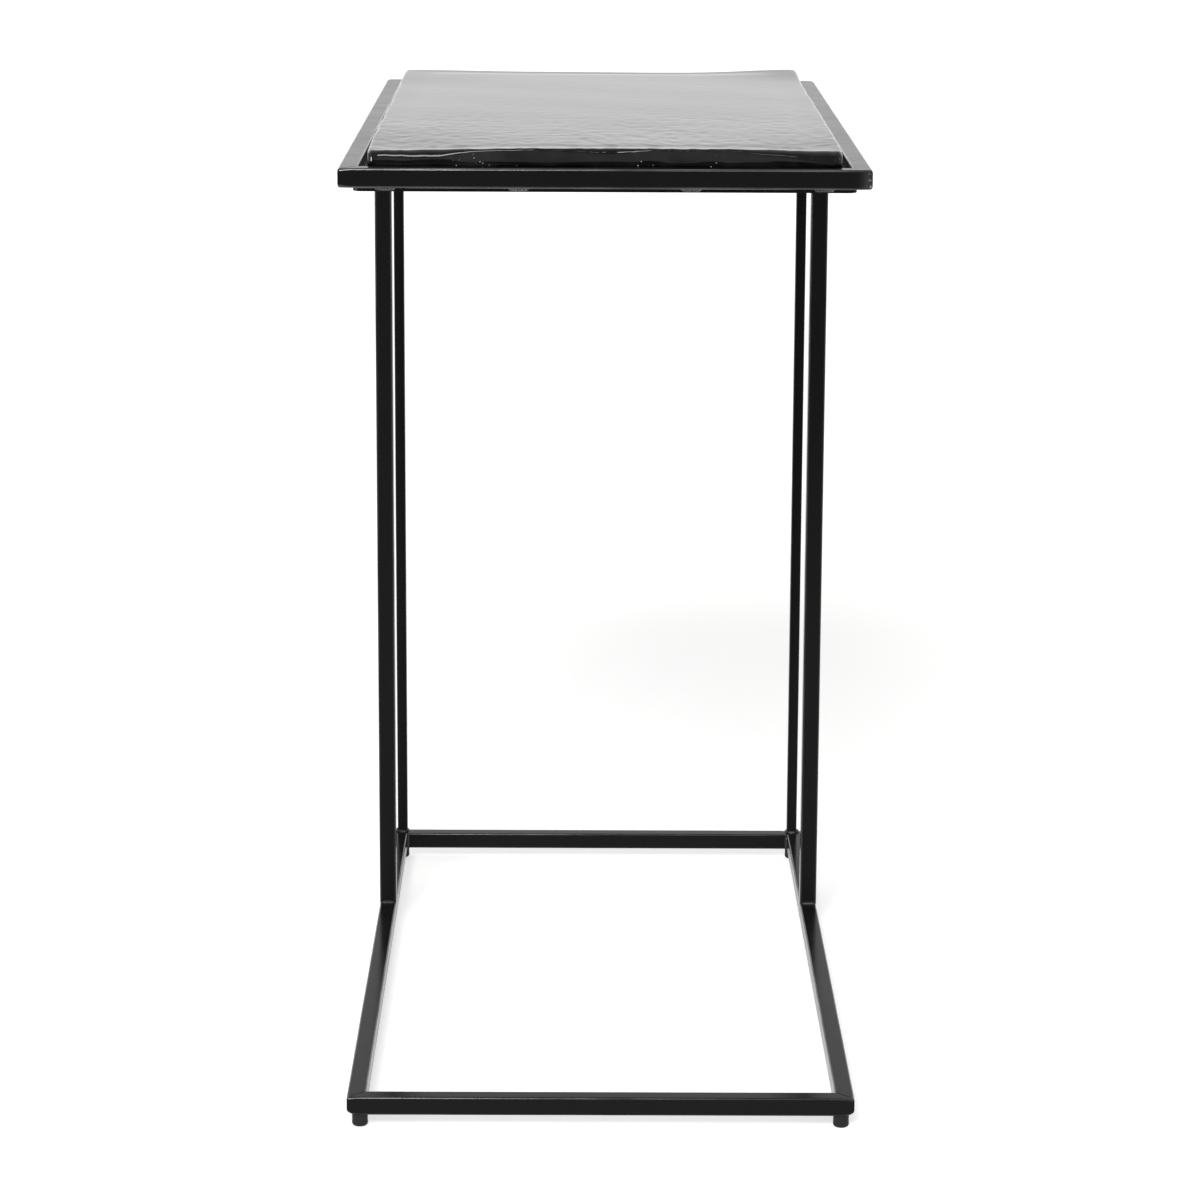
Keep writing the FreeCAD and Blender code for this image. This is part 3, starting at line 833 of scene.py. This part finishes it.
class Slab:
    """The cast slab's form: outline, rim and top."""

    def __init__(self):
        self.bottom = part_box("slab_bumpers")[1].z
        self.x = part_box("top_right_rail")[0].x - SLAB_SIDE_GAP
        self.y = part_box("top_rear_rail")[0].y - SLAB_END_GAP

    def outline(self):
        """Points round the slab from its front right corner: arc centre, way out, and wave inwards."""
        centre_x = self.x - SLAB_CORNER_R
        centre_y = self.y - SLAB_CORNER_R
        front_x = centre_x - SLAB_NARROWING
        centres = ((front_x, -centre_y), (centre_x, centre_y), (-centre_x, centre_y), (-front_x, -centre_y))
        half_corner = SLAB_CORNER_STEPS // 2
        sides = []
        for i, centre in enumerate(centres):
            turn = math.radians(90 * i)
            out = Vector((math.cos(turn), math.sin(turn), 0))
            start = Vector((*centre, 0))
            end = Vector((*centres[(i + 1) % 4], 0))
            length = (end - start).length
            side = []
            for k in range(half_corner):
                angle = turn - math.radians(45 * (1 - k / half_corner))
                side.append((start, Vector((math.cos(angle), math.sin(angle), 0)), 0.0))
            count = round(2 * (centre_x if i % 2 else centre_y) / SLAB_STATION)
            for k in range(count + 1):
                share = k / count
                wave = self.side_wave(length, share, SLAB_SIDE_PHASE * i)
                side.append((start.lerp(end, share), out, wave))
            for k in range(1, half_corner):
                angle = turn + math.radians(45 * k / half_corner)
                side.append((end, Vector((math.cos(angle), math.sin(angle), 0)), 0.0))
            sides.append(side)
        return sides

    def side_wave(self, length, share, first_phase):
        """How far a side wanders inwards at a share of its length."""
        waves = max(1, round(length / SLAB_SIDE_WAVE_PITCH))
        phase = first_phase + 2 * math.pi * waves * share
        fade = math.sin(math.pi * share) ** 2
        height = 1 - SLAB_SIDE_UNEVENNESS + SLAB_SIDE_UNEVENNESS * math.sin(SLAB_SIDE_BEAT * phase)
        return SLAB_SIDE_WAVE * fade * height * (1 - math.cos(phase)) / 2

    def rim_radius(self, x, y):
        """Radius of the rounded rim near a point of the outline."""
        wander = noise_at(x / RIM_WANDER_PITCH, y / RIM_WANDER_PITCH, "rim")
        radius = RIM_RADIUS + RIM_WANDER * wander
        front = smooth_share(-y, self.y - FRONT_RIM_START, self.y - FRONT_RIM_FULL)
        x = min(max(x, FRONT_RIM[0][0]), FRONT_RIM[-1][0])
        for (x0, r0), (x1, r1) in zip(FRONT_RIM, FRONT_RIM[1:]):
            if x0 <= x <= x1:
                front_radius = r0 + (r1 - r0) * smooth_share(x, x0, x1)
        front_radius += FRONT_RIM_WANDER * RIM_WANDER * wander
        return radius + (front_radius - radius) * front

    def corner_lean(self, x, y):
        """How far the wall near a point of the outline leans in at the rim."""
        from_corner = math.hypot(self.x - SLAB_NARROWING - abs(x), self.y + y)
        return CORNER_LEAN * math.exp(-(from_corner / CORNER_LEAN_REACH) ** 2)

    def top_height(self, x, y):
        """Height of the top above the underside: taper, swells, warped corners, ripples and lip."""
        turn = 2 * math.pi / SLAB_TOP_WAVE_PITCH
        swell = math.sin(turn * (x + SLAB_SWELL_SLANT * y))
        swell *= math.cos(turn * SLAB_CROSS_SWELL_RATE * (y - SLAB_CROSS_SWELL_SLANT * x))
        height = SLAB_REAR_THICKNESS + SLAB_TAPER * (self.y - y) / (2 * self.y) + SLAB_TOP_WAVE * swell
        for side, end, warp, reach in SLAB_WARPS:
            from_corner = math.hypot(x - side * self.x, y - end * self.y)
            height += warp * math.exp(-(from_corner / reach) ** 2)
        height += self.hammered(x, y)
        from_edge = self.from_edge(x, y)
        height += LIP_HEIGHT * (math.exp(-(from_edge / LIP_REACH) ** 2) - 1)
        height -= DIP_DEPTH * math.exp(-((from_edge - DIP_PLACE) / DIP_REACH) ** 2)
        return height

    def hammered(self, x, y):
        """Ripples and creases of the top, all of them below it, and stronger towards the front."""
        ripple_height, ripple_x, ripple_y = RIPPLE
        crease_height, crease_x, crease_y = CREASE
        fine_height, fine_x, fine_y = FINE_RIPPLE
        ripple = noise_at(x / ripple_x, y / ripple_y, "ripple") - 1
        crease = -2 * abs(noise_at(x / crease_x, y / crease_y, "crease"))
        fine = noise_at(x / fine_x, y / fine_y, "fine") - 1
        strength = 1 + (FRONT_RIPPLE - 1) * smooth_share(-y, RIPPLE_START * self.y, self.y)
        return strength * (ripple_height * ripple + crease_height * crease + fine_height * fine)

    def from_edge(self, x, y):
        """Distance to the nearest edge, rounded off where two edges are as near."""
        narrowing = SLAB_NARROWING * (self.y - y) / (2 * self.y)
        to_x = max(0.0, self.x - narrowing - abs(x))
        to_y = max(0.0, self.y - abs(y))
        return -EDGE_BLEND * math.log(math.exp(-to_x / EDGE_BLEND) + math.exp(-to_y / EDGE_BLEND))

    def shape(self):
        shape = Shape()
        sides = self.outline()
        loop = [point for side in sides for point in side]

        def place(point, inset, z):
            centre, out, wave = point
            spot = centre + out * (SLAB_CORNER_R - wave - inset)
            return Vector((spot.x, spot.y, self.bottom + z))

        rims = [place(point, 0, 0) for point in loop]
        radii = [self.rim_radius(p.x, p.y) for p in rims]
        leans = [self.corner_lean(p.x, p.y) for p in rims]
        rings = []
        for inset, rise in reversed(quarter_round(SLAB_FOOT_EDGE_R, SLAB_FOOT_STEPS)):
            rings.append(shape.ring([place(point, inset, rise) for point in loop]))
        for k in range(1, SLAB_WALL_STEPS):
            ring = []
            for point, spot, radius, lean in zip(loop, rims, radii, leans):
                top = self.top_height(spot.x, spot.y) - radius
                z = SLAB_FOOT_EDGE_R + (top - SLAB_FOOT_EDGE_R) * k / SLAB_WALL_STEPS
                grain = Vector((spot.x, spot.y, z * WALL_RIPPLE_SQUASH)) / WALL_RIPPLE_PITCH
                depth = WALL_RIPPLE * math.sin(math.pi * k / SLAB_WALL_STEPS)
                depth *= (1 + noise.noise(grain)) / 2
                ring.append(place(point, depth + lean * k / SLAB_WALL_STEPS, z))
            rings.append(shape.ring(ring))
        for k in range(SLAB_RIM_STEPS + 1):
            ring = []
            for point, radius, lean in zip(loop, radii, leans):
                inset, drop = quarter_round(radius, SLAB_RIM_STEPS)[k]
                inset += lean
                spot = place(point, inset, 0)
                ring.append(place(point, inset, self.top_height(spot.x, spot.y) - drop))
            rings.append(shape.ring(ring))
        shape.skin(rings)
        shape.cap(rings[0])
        self.add_top(shape, rings[-1], [len(side) for side in sides])
        return shape

    def add_top(self, shape, ring, counts):
        """Fills the rim's last ring with a grid of points that follows its four sides."""
        across, along = counts[1], counts[0]
        right = ring[:along]
        rear = ring[along:along + across]
        left = ring[along + across:2 * along + across]
        front = ring[2 * along + across:]
        right = right + [rear[0]]
        back = list(reversed(rear + [left[0]]))
        left = list(reversed(left + [front[0]]))
        front = front + [right[0]]
        grid = [[None] * (along + 1) for _ in range(across + 1)]
        for j in range(along + 1):
            grid[0][j] = left[j]
            grid[across][j] = right[j]
        for i in range(across + 1):
            grid[i][0] = front[i]
            grid[i][along] = back[i]
        corners = [shape.points[k].copy() for k in (front[0], front[-1], back[0], back[-1])]
        for i in range(1, across):
            u = i / across
            for j in range(1, along):
                v = j / along
                spot = shape.points[left[j]] * (1 - u) + shape.points[right[j]] * u
                spot += shape.points[front[i]] * (1 - v) + shape.points[back[i]] * v
                spot -= (corners[0] * (1 - u) + corners[1] * u) * (1 - v)
                spot -= (corners[2] * (1 - u) + corners[3] * u) * v
                spot.z = self.bottom + self.top_height(spot.x, spot.y)
                grid[i][j] = shape.ring([spot])[0]
        for i in range(across):
            for j in range(along):
                shape.faces.append((grid[i][j], grid[i + 1][j], grid[i + 1][j + 1], grid[i][j + 1]))


def add_slab():
    add_piece("cast_slab", Slab().shape(), CAST_GLASS, "slab", "slab")


# Feet and bumpers

def lathe(shape, profile, x, y, segments):
    """A turned form about an upright axis, closed at both ends of its profile, which lie on the axis."""
    rings = []
    for radius, z in profile[1:-1]:
        turns = [2 * math.pi * i / segments for i in range(segments)]
        rings.append(shape.ring([(x + radius * math.cos(a), y + radius * math.sin(a), z) for a in turns]))
    shape.skin(rings)
    shape.fan(rings[0], (x, y, profile[0][1]))
    shape.fan(rings[-1], (x, y, profile[-1][1]))


def pad_profile(low, high, stud_radius, socket_floor):
    radius = (high.x - low.x) / 2
    profile = [(0, low.z), (PAD_SOLE_RING * radius, low.z)]
    profile += [(radius - i, low.z + d) for i, d in reversed(quarter_round(PAD_RIM_R, PAD_RIM_STEPS))]
    for share in PAD_WAIST_PLACES:
        z = low.z + PAD_RIM_R + share * (high.z - low.z - PAD_RIM_R - PAD_SHOULDER_R)
        profile.append((radius - PAD_WAIST * math.sin(math.pi * share), z))
    profile += [(radius - i, high.z - d) for i, d in quarter_round(PAD_SHOULDER_R, PAD_SHOULDER_STEPS)]
    socket = stud_radius + PAD_SOCKET_GAP
    profile += [(socket, high.z), (socket, socket_floor)]
    profile += [(FLAT_RING * socket, socket_floor), (0, socket_floor)]
    return profile


def thread_shape(low, high):
    """A stud with a helical thread that runs out at both of its ends."""
    centre = (low + high) / 2
    radius = (high.x - low.x) / 2
    length = high.z - low.z
    count = round(length / THREAD_PITCH * THREAD_STEPS)
    shape = Shape()
    rings = []
    for i in range(count + 1):
        rise = length * i / count
        runout = min(1.0, THREAD_RUNOUT + min(rise, length - rise) / THREAD_PITCH)
        ring = []
        for k in range(THREAD_SEGMENTS):
            angle = 2 * math.pi * k / THREAD_SEGMENTS
            phase = (rise / THREAD_PITCH - k / THREAD_SEGMENTS) % 1.0
            crest = min(1.0, THREAD_CREST * (1 - abs(2 * phase - 1)))
            reach = radius - THREAD_DEPTH * (1 - crest * runout)
            x = centre.x + reach * math.cos(angle)
            y = centre.y + reach * math.sin(angle)
            ring.append((x, y, low.z + rise))
        rings.append(shape.ring(ring))
    shape.skin(rings)
    shape.cap(rings[0])
    shape.cap(rings[-1])
    return shape


def add_feet():
    for corner in ("front_left", "front_right", "rear_left", "rear_right"):
        low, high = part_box("foot_pad_" + corner)
        stud_low, stud_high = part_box("foot_stud_" + corner)
        body = "foot_" + corner
        profile = pad_profile(low, high, (stud_high.x - stud_low.x) / 2, stud_low.z)
        pad = Shape()
        centre = (low + high) / 2
        lathe(pad, profile, centre.x, centre.y, PAD_SEGMENTS)
        add_piece("pad_" + corner, pad, FOOT_PLASTIC, body, "foot_pad_" + corner)
        thread = thread_shape(stud_low, stud_high)
        stud = "foot_stud_" + corner
        add_piece("thread_" + corner, thread, ZINC_STEEL, body, stud, THREAD_SHARP_DEGREES)


def add_bumpers():
    low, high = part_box("slab_bumpers")
    x = high.x - BUMPER_R
    reach = high.y - BUMPER_R
    profile = [(0, low.z), (FLAT_RING * BUMPER_R, low.z), (BUMPER_R, low.z)]
    profile += [(BUMPER_R - i, high.z - d) for i, d in quarter_round(BUMPER_EDGE_R, BUMPER_EDGE_STEPS)]
    profile += [(FLAT_RING * BUMPER_R, high.z), (0, high.z)]
    shape = Shape()
    for row in range(BUMPER_ROWS):
        for side in (-1, 1):
            y = reach * (2 * row / (BUMPER_ROWS - 1) - 1)
            lathe(shape, profile, side * x, y, BUMPER_SEGMENTS)
    add_piece("bumper_domes", shape, BUMPER_SILICONE, "frame", "slab_bumpers")


def finish_nuts():
    """The nuts inside the base frame keep their solids and take the steel finish."""
    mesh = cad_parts["foot_nuts"].data
    mesh.materials.clear()
    mesh.materials.append(ZINC_STEEL)


# Room, light and camera

def light_path(nodes, links, rays):
    """One when any of the named kinds of ray looks, else zero."""
    path = nodes.new("ShaderNodeLightPath")
    total = path.outputs[rays[0]]
    for ray in rays[1:]:
        total = calculate(nodes, links, "MAXIMUM", total, path.outputs[ray])
    return total


def floor_finish():
    """A pale floor that looks white, also in reflections, and still takes a soft shadow."""
    material = bpy.data.materials.new("floor")
    material.use_nodes = True
    nodes = material.node_tree.nodes
    links = material.node_tree.links
    nodes.clear()
    diffuse = nodes.new("ShaderNodeBsdfDiffuse")
    diffuse.inputs["Color"].default_value = (*FLOOR_COLOUR, 1)
    place = nodes.new("ShaderNodeTexCoord")
    away = nodes.new("ShaderNodeVectorMath")
    away.operation = "LENGTH"
    links.new(place.outputs["Object"], away.inputs[0])
    level = map_range(nodes, links, away.outputs["Value"], FLOOR_GLOW)
    looked_at = light_path(nodes, links, BACKGROUND_RAYS)
    glow = nodes.new("ShaderNodeEmission")
    links.new(calculate(nodes, links, "MULTIPLY", looked_at, level), glow.inputs["Strength"])
    both = nodes.new("ShaderNodeAddShader")
    links.new(diffuse.outputs["BSDF"], both.inputs[0])
    links.new(glow.outputs["Emission"], both.inputs[1])
    output = nodes.new("ShaderNodeOutputMaterial")
    links.new(both.outputs["Shader"], output.inputs["Surface"])
    return material


def add_floor():
    mesh = bpy.data.meshes.new("floor")
    turns = [2 * math.pi * i / FLOOR_SEGMENTS for i in range(FLOOR_SEGMENTS)]
    points = [(FLOOR_RADIUS * math.cos(a), FLOOR_RADIUS * math.sin(a), 0) for a in turns]
    mesh.from_pydata(points, [], [tuple(range(FLOOR_SEGMENTS))])
    mesh.materials.append(floor_finish())
    floor = bpy.data.objects.new("floor", mesh)
    bpy.context.scene.collection.objects.link(floor)


def studio_sky(nodes, links):
    """The colour of a soft sky: bright low down behind the table, dimmer above and in front."""
    direction = nodes.new("ShaderNodeTexCoord")
    parts = nodes.new("ShaderNodeSeparateXYZ")
    links.new(direction.outputs["Generated"], parts.inputs["Vector"])
    ramp = nodes.new("ShaderNodeValToRGB")
    elements = ramp.color_ramp.elements
    while len(elements) < len(SKY_LEVELS):
        elements.new(1.0)
    for element, (place, level) in zip(elements, SKY_LEVELS):
        element.position = place
        element.color = (*(level * tint for tint in SKY_TINT), 1)
    links.new(parts.outputs["Z"], ramp.inputs["Fac"])
    behind = map_range(nodes, links, parts.outputs["Y"], SKY_BEHIND, True)
    shaded = nodes.new("ShaderNodeMix")
    shaded.data_type = "RGBA"
    shaded.blend_type = "MULTIPLY"
    shaded.inputs["Factor"].default_value = 1
    links.new(ramp.outputs["Color"], shaded.inputs[MIX_FIRST])
    links.new(behind, shaded.inputs[MIX_SECOND])
    return shaded.outputs[MIX_RESULT]


def add_world():
    """The studio sky lights the table, and the rays that look at the background see plain white."""
    world = bpy.data.worlds.new("studio")
    bpy.context.scene.world = world
    world.use_nodes = True
    nodes = world.node_tree.nodes
    links = world.node_tree.links
    looked_at = light_path(nodes, links, BACKGROUND_RAYS)
    colour = mix_colours(nodes, links, looked_at, studio_sky(nodes, links), (1, 1, 1))
    links.new(colour, nodes["Background"].inputs["Color"])


def add_softbox(name, place, target, size, radiance, half_spread=None):
    """A soft lamp that faces the target, as bright as the radiance given; a grid may narrow its spread."""
    width, height = size
    light = bpy.data.lights.new(name, "AREA")
    light.shape = "RECTANGLE"
    light.size = width
    light.size_y = height
    light.energy = radiance * math.pi * width * height
    if half_spread:
        light.spread = 2 * half_spread
        # The same energy in a narrower beam would be brighter
        light.energy *= 1 - half_spread / math.tan(half_spread)
    lamp = bpy.data.objects.new(name, light)
    lamp.location = place
    lamp.rotation_euler = (Vector(target) - Vector(place)).to_track_quat("-Z", "Y").to_euler()
    lamp.visible_camera = False
    bpy.context.scene.collection.objects.link(lamp)


def add_lights():
    for name, (place, target, size, radiance, half_spread) in LAMPS.items():
        add_softbox(name, place, target, size, radiance, half_spread)
    for degrees in PANEL_DIRECTIONS:
        angle = math.radians(degrees)
        place = (PANEL_DISTANCE * math.cos(angle), PANEL_DISTANCE * math.sin(angle), PANEL_HEIGHT)
        add_softbox("panel_%03d" % degrees, place, TRAY, PANEL_SIZE, PANEL_RADIANCE)


def add_camera():
    data = bpy.data.cameras.new("camera")
    data.lens = CAMERA_LENS
    data.sensor_width = CAMERA_SENSOR
    data.sensor_fit = "HORIZONTAL"
    turn = Matrix.Rotation(CAMERA_YAW, 3, "Z")
    forward = turn @ Vector((0, math.cos(CAMERA_PITCH), -math.sin(CAMERA_PITCH)))
    level_up = turn @ Vector((0, math.sin(CAMERA_PITCH), math.cos(CAMERA_PITCH)))
    level_right = turn @ Vector((1, 0, 0))
    right = level_right * math.cos(CAMERA_ROLL) + level_up * math.sin(CAMERA_ROLL)
    up = level_up * math.cos(CAMERA_ROLL) - level_right * math.sin(CAMERA_ROLL)
    camera = bpy.data.objects.new("camera", data)
    camera.matrix_world = axes(right, up, -forward, CAMERA_PLACE)
    bpy.context.scene.collection.objects.link(camera)
    bpy.context.scene.camera = camera


bpy.context.scene.view_settings.view_transform = "Standard"
add_rails("top")
add_rails("base")
add_uprights()
add_sheet()
add_welds()
add_slab()
add_feet()
add_bumpers()
finish_nuts()
add_floor()
add_world()
add_lights()
add_camera()
